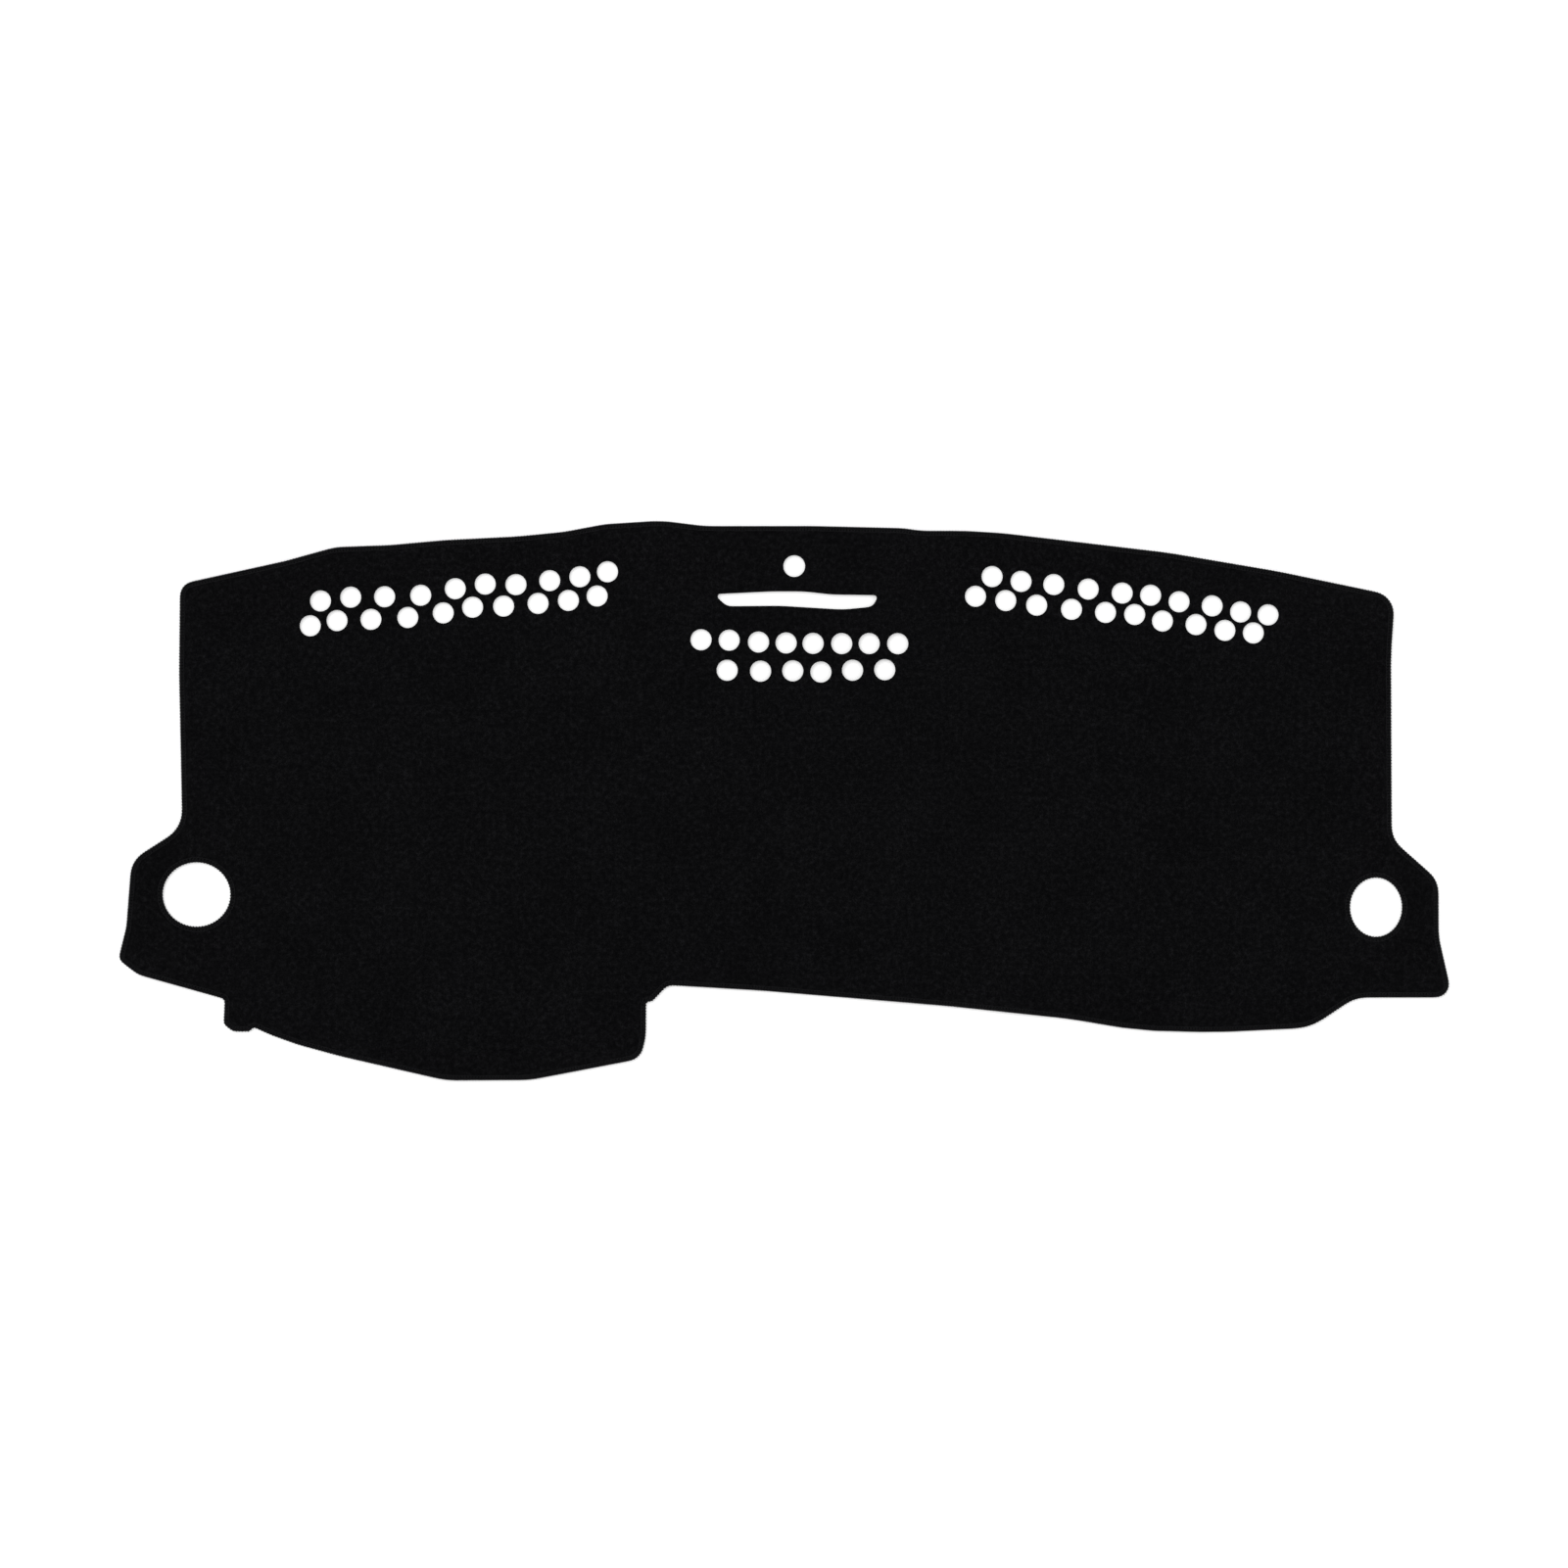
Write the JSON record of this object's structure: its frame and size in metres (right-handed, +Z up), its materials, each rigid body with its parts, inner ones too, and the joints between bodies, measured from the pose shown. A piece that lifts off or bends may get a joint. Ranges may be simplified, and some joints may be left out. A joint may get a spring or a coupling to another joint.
{
  "type": "dashboard cover mat",
  "caption": "Flat felt mat cut to cover the top of a car dashboard, with defroster holes, a slit, a sensor hole and two oval side vents.",
  "frame": {"origin": "middle of the mat's bounding box, on its underside", "axes": "+X across the car towards the passenger's side, +Y towards the windscreen, +Z up through the felt"},
  "size_m": [1.4499, 0.6097, 0.004],
  "materials": {
    "felt": "black needle-punched polyester felt, matt, with an overlocked edge"
  },
  "bodies": {
    "root": {"dash_mat": "felt"}
  },
  "joints": []
}
